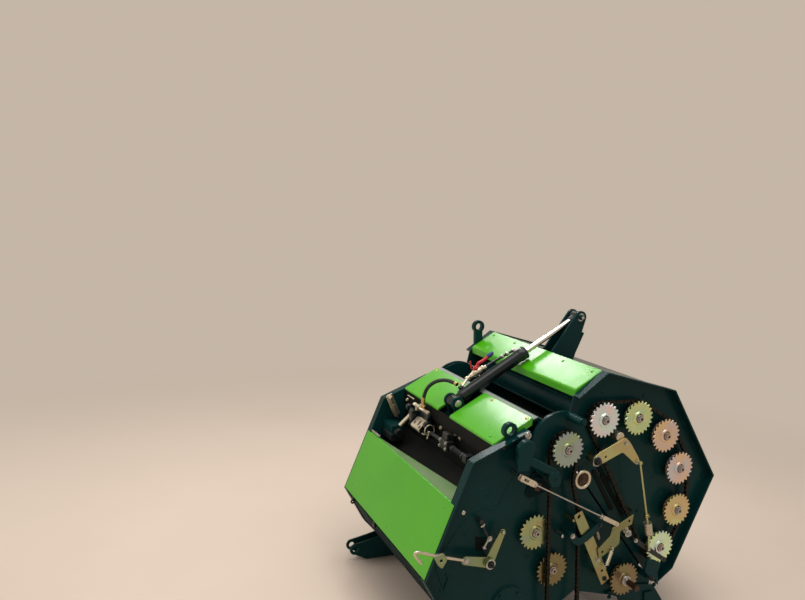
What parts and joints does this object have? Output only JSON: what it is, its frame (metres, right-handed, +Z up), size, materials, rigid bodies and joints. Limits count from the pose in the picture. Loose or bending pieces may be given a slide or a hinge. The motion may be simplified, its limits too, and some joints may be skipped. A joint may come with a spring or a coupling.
{
  "type": "round baler",
  "caption": "Compact round baler with a roller-ring bale chamber, a lifting tailgate on a cylinder, open side chains and sprockets, a tined pickup and an open tying bay.",
  "frame": {"origin": "on the floor, below the middle of the machine's box", "axes": "+X forward to the pickup and hitch, +Y to the machine's left, +Z up"},
  "size_m": [1.205, 0.844, 1.072],
  "materials": {
    "paint": "gloss petrol-teal paint",
    "lime": "gloss lime green paint",
    "zinc": "yellow zinc plate",
    "chain": "oiled roller chain",
    "black": "black paint",
    "cast": "dark painted castings",
    "hose": "black hose rubber",
    "chrome": "hard chrome"
  },
  "bodies": {
    "frame": {"front_plate_left": "paint", "front_plate_right": "paint", "front_panel": "lime", "nose_sheet": "paint", "mid_cover": "lime", "cover_beam": "paint", "bay_tray": "paint", "valve_block": "cast", "twine_gear": "cast", "oil_hose": "hose", "hitch_arms": "paint", "rear_feet": "paint", "pickup_frame": "paint", "front_chain": "chain", "idler_ring": "zinc", "clevis_rod": "zinc", "trip_bar": "zinc", "trip_lever": "zinc", "bell_crank": "zinc", "guide_bracket": "paint", "trip_strap": "paint", "latch_catch": "paint"},
    "tailgate": {"tail_plate_left": "paint", "tail_plate_right": "paint", "hinge_rings": "paint", "tail_cover": "lime", "tail_skin": "paint", "tail_beam": "paint", "tail_lever": "paint", "latch_lever": "zinc", "latch_rod": "zinc", "tail_chain": "chain"},
    "lift_barrel": {"cylinder_barrel": "black"},
    "lift_rod": {"cylinder_rod": "chrome"},
    "roller_unit_1": {"roller_1": "paint", "sprocket_1": "zinc"},
    "roller_unit_2": {"roller_2": "paint", "sprocket_2": "zinc"},
    "roller_unit_3": {"roller_3": "paint", "sprocket_3": "zinc"},
    "roller_unit_4": {"roller_4": "paint", "sprocket_4": "zinc"},
    "roller_unit_5": {"roller_5": "paint", "sprocket_5": "zinc"},
    "roller_unit_6": {"roller_6": "paint", "sprocket_6": "zinc"},
    "roller_unit_7": {"roller_7": "paint", "sprocket_7": "zinc"},
    "roller_unit_8": {"roller_8": "paint", "sprocket_8": "zinc"},
    "roller_unit_9": {"roller_9": "paint", "sprocket_9": "zinc"},
    "roller_unit_10": {"roller_10": "paint", "sprocket_10": "zinc"},
    "roller_unit_11": {"roller_11": "paint"},
    "pickup": {"pickup_reel": "black"}
  },
  "joints": [
    {"name": "tailgate_lift", "type": "hinge", "parent": "frame", "child": "tailgate", "pos_m": [0.0862, -0.038, 0.67927], "axis": [0, 1, 0], "range_deg": [0, 50]},
    {"name": "barrel_tilt", "type": "hinge", "parent": "frame", "child": "lift_barrel", "pos_m": [0.2915, -0.038, 0.733], "axis": [0, 1, 0], "range_deg": [0, 43]},
    {"name": "rod_stroke", "type": "slide", "parent": "lift_barrel", "child": "lift_rod", "axis": [-0.847, 0, 0.5315], "range_m": [-0.17, 0]},
    {"name": "roller_1_spin", "type": "hinge", "parent": "frame", "child": "roller_unit_1", "pos_m": [0.0862, -0.038, 0.67927], "axis": [0, 1, 0], "continuous": true},
    {"name": "roller_2_spin", "type": "hinge", "parent": "tailgate", "child": "roller_unit_2", "pos_m": [-0.062, -0.038, 0.76466], "axis": [0, 1, 0], "continuous": true},
    {"name": "roller_3_spin", "type": "hinge", "parent": "tailgate", "child": "roller_unit_3", "pos_m": [-0.20556, -0.038, 0.76403], "axis": [0, 1, 0], "continuous": true},
    {"name": "roller_4_spin", "type": "hinge", "parent": "tailgate", "child": "roller_unit_4", "pos_m": [-0.33614, -0.038, 0.69401], "axis": [0, 1, 0], "continuous": true},
    {"name": "roller_5_spin", "type": "hinge", "parent": "tailgate", "child": "roller_unit_5", "pos_m": [-0.41805, -0.038, 0.56932], "axis": [0, 1, 0], "continuous": true},
    {"name": "roller_6_spin", "type": "hinge", "parent": "tailgate", "child": "roller_unit_6", "pos_m": [-0.42915, -0.038, 0.41441], "axis": [0, 1, 0], "continuous": true},
    {"name": "roller_7_spin", "type": "hinge", "parent": "tailgate", "child": "roller_unit_7", "pos_m": [-0.36852, -0.038, 0.28259], "axis": [0, 1, 0], "continuous": true},
    {"name": "roller_8_spin", "type": "hinge", "parent": "frame", "child": "roller_unit_8", "pos_m": [-0.22281, -0.038, 0.18282], "axis": [0, 1, 0], "continuous": true},
    {"name": "roller_9_spin", "type": "hinge", "parent": "frame", "child": "roller_unit_9", "pos_m": [0.15988, -0.038, 0.39538], "axis": [0, 1, 0], "continuous": true},
    {"name": "roller_10_spin", "type": "hinge", "parent": "frame", "child": "roller_unit_10", "pos_m": [0.0788, -0.038, 0.25523], "axis": [0, 1, 0], "continuous": true},
    {"name": "roller_11_spin", "type": "hinge", "parent": "frame", "child": "roller_unit_11", "pos_m": [0.15988, -0.038, 0.54661], "axis": [0, 1, 0], "continuous": true},
    {"name": "pickup_spin", "type": "hinge", "parent": "frame", "child": "pickup", "pos_m": [0.2275, -0.038, 0.146], "axis": [0, 1, 0], "continuous": true}
  ],
  "couplings": [
    {"joint": "barrel_tilt", "follows": "tailgate_lift", "ratio": 0.84865},
    {"joint": "rod_stroke", "follows": "tailgate_lift", "m_per_rad": -0.19098},
    {"joint": "roller_2_spin", "follows": "roller_1_spin", "ratio": 1},
    {"joint": "roller_3_spin", "follows": "roller_1_spin", "ratio": 1},
    {"joint": "roller_4_spin", "follows": "roller_1_spin", "ratio": 1},
    {"joint": "roller_5_spin", "follows": "roller_1_spin", "ratio": 1},
    {"joint": "roller_6_spin", "follows": "roller_1_spin", "ratio": 1},
    {"joint": "roller_7_spin", "follows": "roller_1_spin", "ratio": 1},
    {"joint": "roller_8_spin", "follows": "roller_1_spin", "ratio": 1},
    {"joint": "roller_9_spin", "follows": "roller_1_spin", "ratio": 1},
    {"joint": "roller_10_spin", "follows": "roller_1_spin", "ratio": 1},
    {"joint": "roller_11_spin", "follows": "roller_1_spin", "ratio": 1}
  ]
}
